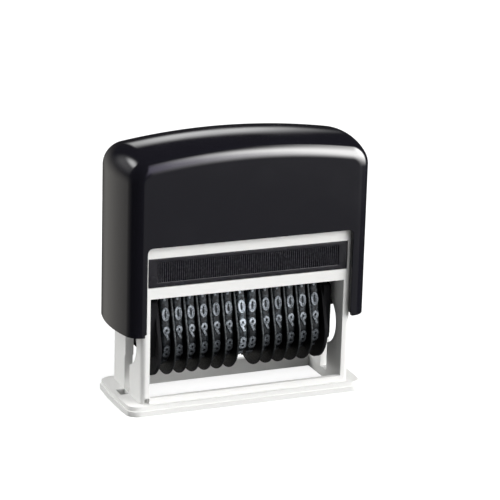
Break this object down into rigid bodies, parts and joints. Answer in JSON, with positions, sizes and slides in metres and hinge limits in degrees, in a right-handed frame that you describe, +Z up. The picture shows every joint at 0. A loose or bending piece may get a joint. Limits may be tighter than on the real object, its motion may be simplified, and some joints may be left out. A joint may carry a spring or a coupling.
{
  "type": "self-inking number stamp",
  "caption": "Self-inking number stamp: a black press cover on an open white base frame, with a flip-over unit of rubber number bands and a slide-out ink pad.",
  "frame": {"origin": "middle of the base's underside, on the paper", "axes": "+X along the row of bands to the right seen from the front, +Y from the front to the back, +Z up; the bands swing out at the front, -Y"},
  "size_m": [0.0608, 0.0224, 0.0629],
  "materials": {
    "white_frame": "moulded white plastic, satin",
    "gloss_black": "moulded black plastic, glossy with a fine grain",
    "pad_black": "moulded black plastic, satin, ribbed",
    "inner_black": "moulded black plastic, matt",
    "wheel_grey": "dark grey acetal, matt",
    "band_rubber": "black rubber, inked",
    "felt": "ink-soaked felt",
    "spring_steel": "drawn spring wire",
    "shaft_steel": "ground steel"
  },
  "bodies": {
    "base": {"base_frame": "white_frame", "return_spring_left": "spring_steel", "return_spring_right": "spring_steel"},
    "pad": {"pad_tray": "pad_black", "ink_felt": "felt"},
    "cover": {"cover": "gloss_black", "slide_yoke": "inner_black"},
    "number_unit": {"left_side_plate": "inner_black", "right_side_plate": "inner_black", "wheel_shaft": "shaft_steel", "shaft_clips": "shaft_steel", "pivot_shaft": "shaft_steel", "pivot_sleeves": "inner_black", "print_bridge": "wheel_grey", "dividers": "inner_black", "detent_comb": "spring_steel", "band_01": "band_rubber", "band_02": "band_rubber", "band_03": "band_rubber", "band_04": "band_rubber", "band_05": "band_rubber", "band_06": "band_rubber", "band_07": "band_rubber", "band_08": "band_rubber", "band_09": "band_rubber", "band_10": "band_rubber", "band_11": "band_rubber", "band_12": "band_rubber", "band_13": "band_rubber"},
    "wheel_01": {"wheel_01": "wheel_grey"},
    "wheel_02": {"wheel_02": "wheel_grey"},
    "wheel_03": {"wheel_03": "wheel_grey"},
    "wheel_04": {"wheel_04": "wheel_grey"},
    "wheel_05": {"wheel_05": "wheel_grey"},
    "wheel_06": {"wheel_06": "wheel_grey"},
    "wheel_07": {"wheel_07": "wheel_grey"},
    "wheel_08": {"wheel_08": "wheel_grey"},
    "wheel_09": {"wheel_09": "wheel_grey"},
    "wheel_10": {"wheel_10": "wheel_grey"},
    "wheel_11": {"wheel_11": "wheel_grey"},
    "wheel_12": {"wheel_12": "wheel_grey"},
    "wheel_13": {"wheel_13": "wheel_grey"}
  },
  "joints": [
    {"name": "cover_press", "type": "slide", "parent": "base", "child": "cover", "axis": [0, 0, -1], "range_m": [0, 0.016], "stiffness_N_per_m": 500, "springref_m": -0.006, "deforming": ["return_spring_left", "return_spring_right"]},
    {"name": "unit_flip", "type": "hinge", "parent": "cover", "child": "number_unit", "pos_m": [0, 0, 0.0233], "axis": [-1, 0, 0], "range_deg": [0, 180]},
    {"name": "pad_slide", "type": "slide", "parent": "base", "child": "pad", "axis": [0, -1, 0], "range_m": [0, 0.022]},
    {"name": "wheel_01_turn", "type": "hinge", "parent": "number_unit", "child": "wheel_01", "pos_m": [0, 0, 0.0149], "axis": [1, 0, 0], "continuous": true},
    {"name": "wheel_02_turn", "type": "hinge", "parent": "number_unit", "child": "wheel_02", "pos_m": [0, 0, 0.0149], "axis": [1, 0, 0], "continuous": true},
    {"name": "wheel_03_turn", "type": "hinge", "parent": "number_unit", "child": "wheel_03", "pos_m": [0, 0, 0.0149], "axis": [1, 0, 0], "continuous": true},
    {"name": "wheel_04_turn", "type": "hinge", "parent": "number_unit", "child": "wheel_04", "pos_m": [0, 0, 0.0149], "axis": [1, 0, 0], "continuous": true},
    {"name": "wheel_05_turn", "type": "hinge", "parent": "number_unit", "child": "wheel_05", "pos_m": [0, 0, 0.0149], "axis": [1, 0, 0], "continuous": true},
    {"name": "wheel_06_turn", "type": "hinge", "parent": "number_unit", "child": "wheel_06", "pos_m": [0, 0, 0.0149], "axis": [1, 0, 0], "continuous": true},
    {"name": "wheel_07_turn", "type": "hinge", "parent": "number_unit", "child": "wheel_07", "pos_m": [0, 0, 0.0149], "axis": [1, 0, 0], "continuous": true},
    {"name": "wheel_08_turn", "type": "hinge", "parent": "number_unit", "child": "wheel_08", "pos_m": [0, 0, 0.0149], "axis": [1, 0, 0], "continuous": true},
    {"name": "wheel_09_turn", "type": "hinge", "parent": "number_unit", "child": "wheel_09", "pos_m": [0, 0, 0.0149], "axis": [1, 0, 0], "continuous": true},
    {"name": "wheel_10_turn", "type": "hinge", "parent": "number_unit", "child": "wheel_10", "pos_m": [0, 0, 0.0149], "axis": [1, 0, 0], "continuous": true},
    {"name": "wheel_11_turn", "type": "hinge", "parent": "number_unit", "child": "wheel_11", "pos_m": [0, 0, 0.0149], "axis": [1, 0, 0], "continuous": true},
    {"name": "wheel_12_turn", "type": "hinge", "parent": "number_unit", "child": "wheel_12", "pos_m": [0, 0, 0.0149], "axis": [1, 0, 0], "continuous": true},
    {"name": "wheel_13_turn", "type": "hinge", "parent": "number_unit", "child": "wheel_13", "pos_m": [0, 0, 0.0149], "axis": [1, 0, 0], "continuous": true}
  ],
  "couplings": [
    {"joint": "unit_flip", "follows": "cover_press", "rad_per_m": 196.3}
  ]
}
